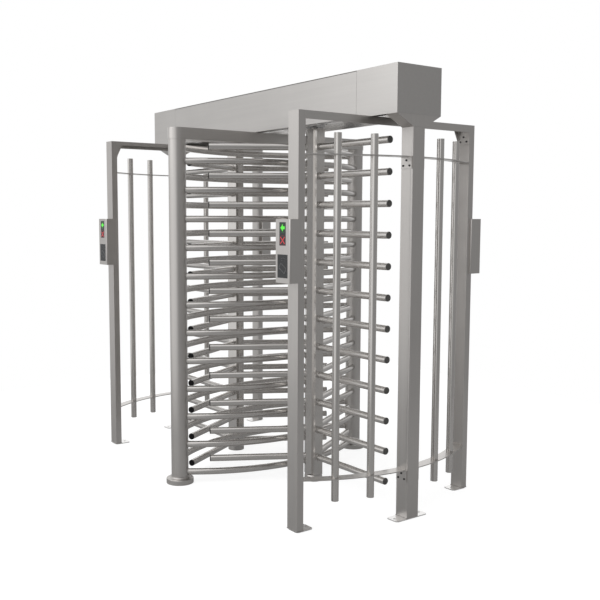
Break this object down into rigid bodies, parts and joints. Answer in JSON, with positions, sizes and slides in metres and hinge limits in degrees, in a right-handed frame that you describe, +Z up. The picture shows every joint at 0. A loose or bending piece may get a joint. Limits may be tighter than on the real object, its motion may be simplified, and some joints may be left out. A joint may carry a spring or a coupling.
{
  "type": "full height turnstile",
  "caption": "Full height turnstile with two lanes side by side: winged rotors on vertical columns turn between a middle comb of bowed bars and open side cages, under a header box.",
  "frame": {"origin": "on the floor, below the middle of the header", "axes": "+X along the header towards the right lane, +Y to the back, away from the access cover, +Z up"},
  "size_m": [2.46, 1.508, 2.3],
  "materials": {
    "steel": "satin brushed stainless steel",
    "zinc": "zinc plated sheet steel",
    "bright": "machined steel",
    "black_plastic": "satin black plastic",
    "dark_screw": "blackened screws",
    "window": "dark tinted polycarbonate",
    "board": "circuit board",
    "green_lamp": "lit green lamps behind the indicator window",
    "red_lamp": "lit red lamps behind the indicator window",
    "print": "grey line drawing on the reader window",
    "casing": "grey painted castings and cases"
  },
  "bodies": {
    "frame": {"header_shell": "steel", "header_tray": "zinc", "hinge_frame_leaves": "zinc", "cross_arm": "steel", "side_arm_right": "steel", "side_arm_left": "steel", "frame_screws": "dark_screw", "comb_column_front": "steel", "comb_column_back": "steel", "column_rosettes": "steel", "comb_bars_right": "steel", "comb_bars_left": "steel", "end_post_right": "steel", "end_post_left": "steel", "post_capitals": "steel", "post_base_plates": "steel", "corner_post_front_right": "steel", "corner_post_front_left": "steel", "corner_post_back_right": "steel", "corner_post_back_left": "steel", "cage_rings_right": "steel", "cage_rings_left": "steel", "cage_tubes_right": "steel", "cage_tubes_left": "steel", "cage_tube_plugs": "zinc", "ring_screws": "dark_screw", "reader_box_front_right": "steel", "reader_box_front_left": "steel", "reader_box_back_right": "steel", "reader_box_back_left": "steel", "indicator_windows": "window", "reader_windows": "window", "reader_boards": "board", "control_unit": "casing", "power_supply": "bright", "bearing_housings": "casing", "head_bearings": "bright", "lock_solenoids": "casing", "rotary_dampers": "black_plastic", "floor_pivots": "steel"},
    "cover": {"header_cover": "steel", "hinge_cover_leaves": "zinc", "lock_barrels": "bright"},
    "lock_cam_right": {"lock_cam_right": "zinc"},
    "lock_cam_left": {"lock_cam_left": "zinc"},
    "rotor_right": {"rotor_column_right": "steel", "wing_bars_right": "steel", "wing_caps_right": "black_plastic", "drive_shaft_right": "bright", "index_gear_right": "bright"},
    "lock_bolt_right": {"lock_bolt_right": "bright"},
    "damper_pinion_right": {"damper_pinion_right": "bright"},
    "rotor_left": {"rotor_column_left": "steel", "wing_bars_left": "steel", "wing_caps_left": "black_plastic", "drive_shaft_left": "bright", "index_gear_left": "bright"},
    "lock_bolt_left": {"lock_bolt_left": "bright"},
    "damper_pinion_left": {"damper_pinion_left": "bright"}
  },
  "joints": [
    {"name": "cover_opens", "type": "hinge", "parent": "frame", "child": "cover", "pos_m": [0, -0.1467, 2.2895], "axis": [-1, 0, 0], "range_deg": [0, 90]},
    {"name": "rotor_right_turns", "type": "hinge", "parent": "frame", "child": "rotor_right", "pos_m": [0.414, 0, 1], "axis": [0, 0, 1], "continuous": true},
    {"name": "damper_pinion_right_spins", "type": "hinge", "parent": "frame", "child": "damper_pinion_right", "pos_m": [0.534, 0, 2.15], "axis": [0, 0, 1], "continuous": true},
    {"name": "lock_bolt_right_slides", "type": "slide", "parent": "frame", "child": "lock_bolt_right", "axis": [1, 0, 0], "range_m": [0, 0.012], "stiffness_N_per_m": 150},
    {"name": "lock_cam_right_turns", "type": "hinge", "parent": "cover", "child": "lock_cam_right", "pos_m": [0.6, -0.134, 2.075], "axis": [0, 0, 1], "range_deg": [0, 90]},
    {"name": "rotor_left_turns", "type": "hinge", "parent": "frame", "child": "rotor_left", "pos_m": [-0.414, 0, 1], "axis": [0, 0, 1], "continuous": true},
    {"name": "damper_pinion_left_spins", "type": "hinge", "parent": "frame", "child": "damper_pinion_left", "pos_m": [-0.534, 0, 2.15], "axis": [0, 0, 1], "continuous": true},
    {"name": "lock_bolt_left_slides", "type": "slide", "parent": "frame", "child": "lock_bolt_left", "axis": [-1, 0, 0], "range_m": [0, 0.012], "stiffness_N_per_m": 150},
    {"name": "lock_cam_left_turns", "type": "hinge", "parent": "cover", "child": "lock_cam_left", "pos_m": [-0.6, -0.134, 2.075], "axis": [0, 0, 1], "range_deg": [0, 90]}
  ],
  "couplings": [
    {"joint": "damper_pinion_right_spins", "follows": "rotor_right_turns", "ratio": -3},
    {"joint": "damper_pinion_left_spins", "follows": "rotor_left_turns", "ratio": -3}
  ]
}
